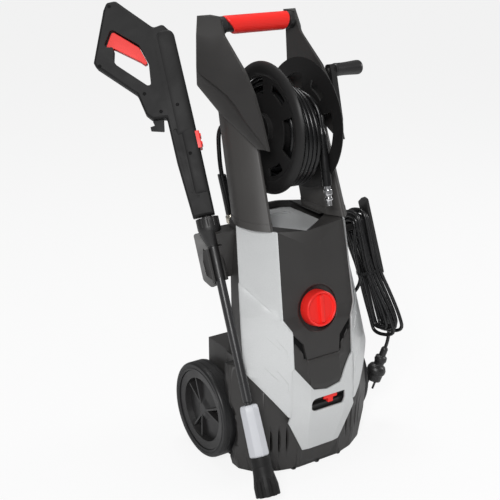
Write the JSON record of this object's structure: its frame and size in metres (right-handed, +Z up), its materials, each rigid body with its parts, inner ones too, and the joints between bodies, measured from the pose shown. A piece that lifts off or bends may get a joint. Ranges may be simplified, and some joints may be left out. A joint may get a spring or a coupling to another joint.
{
  "type": "pressure washer",
  "caption": "Upright electric pressure washer on two wheels, with a hose reel between the handle columns, a spray gun stored at one side and a wound mains cord at the other.",
  "frame": {"origin": "on the floor under the middle front foot, in the machine's middle plane", "axes": "+X to the right of someone facing the front, +Y from the front to the back, +Z up"},
  "size_m": [0.5139, 0.5301, 0.8999],
  "materials": {
    "silver_shell": "satin silver lacquer on a plastic shell",
    "black_shell": "fine grained",
    "red_plastic": "satin",
    "black_plastic": "fine grained",
    "tyre_plastic": "ribbed",
    "grey_plastic": "satin",
    "dark_tube": "black, semi-gloss",
    "hose_rubber": "smooth",
    "cord_rubber": "smooth",
    "bright_steel": "zinc plated",
    "brass": "plain",
    "pump_metal": "cast",
    "motor_metal": "enamelled"
  },
  "bodies": {
    "chassis": {"base_feet": "cord_rubber", "base_shell": "black_shell", "centre_panel": "black_shell", "cord_ends": "cord_rubber", "cord_gland": "black_plastic", "cord_hank": "cord_rubber", "cord_hook": "black_plastic", "cord_plug": "black_plastic", "cord_tie": "cord_rubber", "detergent_tank": "black_plastic", "dosing_valve": "black_plastic", "feed_hose": "hose_rubber", "feed_sleeve": "hose_rubber", "front_cover": "silver_shell", "handle_bar": "black_plastic", "handle_grip": "red_plastic", "lance_holder": "black_shell", "left_arm": "black_shell", "left_column": "black_shell", "lower_panel": "black_shell", "motor_housing": "motor_metal", "outlet_fitting": "brass", "pressure_pipe": "bright_steel", "pump_body": "pump_metal", "rear_housing": "black_shell", "reel_swivel": "brass", "right_arm": "black_shell", "right_column": "black_shell", "switch_box": "black_plastic", "top_cover": "silver_shell", "water_inlet": "black_plastic", "wheel_axle": "bright_steel"},
    "reel": {"reel_axle": "black_plastic", "reel_drum": "black_plastic", "reel_right_flange": "black_plastic", "reel_left_flange": "black_plastic", "hose_winding": "hose_rubber", "hose_tail": "hose_rubber", "hose_sleeve": "hose_rubber", "hose_connector": "bright_steel", "crank_arm": "black_plastic", "crank_pin": "bright_steel"},
    "crank_handle": {"crank_grip": "black_plastic"},
    "rotor": {"motor_shaft": "bright_steel", "cooling_fan": "black_plastic"},
    "switch": {"switch_knob": "red_plastic"},
    "dosing": {"dosing_tab": "red_plastic"},
    "wheel_left": {"wheel_left_rim": "black_plastic", "wheel_left_tyre": "tyre_plastic"},
    "wheel_right": {"wheel_right_rim": "black_plastic", "wheel_right_tyre": "tyre_plastic"},
    "gun": {"gun_left_half": "black_plastic", "gun_right_half": "black_plastic", "gun_valve": "brass"},
    "trigger": {"gun_trigger": "red_plastic"},
    "lock_button": {"gun_button": "red_plastic"},
    "lance": {"lance_collar": "black_plastic", "lance_tube": "dark_tube", "nozzle_sleeve": "grey_plastic"},
    "nozzle": {"nozzle_head": "black_plastic"}
  },
  "joints": [
    {"name": "reel_spin", "type": "hinge", "parent": "chassis", "child": "reel", "pos_m": [0, 0.1217, 0.677], "axis": [1, 0, 0], "continuous": true},
    {"name": "crank_handle_spin", "type": "hinge", "parent": "reel", "child": "crank_handle", "pos_m": [0.15, 0.14124, 0.76895], "axis": [1, 0, 0], "continuous": true},
    {"name": "rotor_spin", "type": "hinge", "parent": "chassis", "child": "rotor", "pos_m": [0, 0.106, 0.4], "axis": [0, 0, 1], "continuous": true},
    {"name": "switch_turn", "type": "hinge", "parent": "chassis", "child": "switch", "pos_m": [0, 0.00199, 0.3385], "axis": [0, 0.9842, -0.1768], "range_deg": [0, 90]},
    {"name": "dosing_slide", "type": "slide", "parent": "chassis", "child": "dosing", "axis": [1, 0, 0], "range_m": [-0.02, 0.012]},
    {"name": "wheel_left_spin", "type": "hinge", "parent": "chassis", "child": "wheel_left", "pos_m": [-0.164, 0.154, 0.1], "axis": [1, 0, 0], "continuous": true},
    {"name": "wheel_right_spin", "type": "hinge", "parent": "chassis", "child": "wheel_right", "pos_m": [0.164, 0.154, 0.1], "axis": [1, 0, 0], "continuous": true},
    {"name": "gun_lift", "type": "slide", "parent": "chassis", "child": "gun", "axis": [0.0401, 0.4567, 0.8887], "range_m": [0, 0.07]},
    {"name": "trigger_pull", "type": "hinge", "parent": "gun", "child": "trigger", "pos_m": [-0.18645, 0.32692, 0.78619], "axis": [0.4844, 0.769, -0.4171], "range_deg": [0, 8], "stiffness_Nm_per_rad": 2, "springref_deg": -8.59},
    {"name": "lock_press", "type": "slide", "parent": "gun", "child": "lock_button", "axis": [-0.8739, 0.4472, -0.1904], "range_m": [0, 0.003], "stiffness_N_per_m": 300, "springref_m": -0.003},
    {"name": "lance_turn", "type": "hinge", "parent": "gun", "child": "lance", "pos_m": [-0.15627, 0.15064, 0.49621], "axis": [0.0401, 0.4567, 0.8887], "range_deg": [0, 45]},
    {"name": "nozzle_turn", "type": "hinge", "parent": "lance", "child": "nozzle", "pos_m": [-0.17566, -0.06996, 0.06697], "axis": [0.0401, 0.4567, 0.8887], "range_deg": [0, 90]}
  ]
}
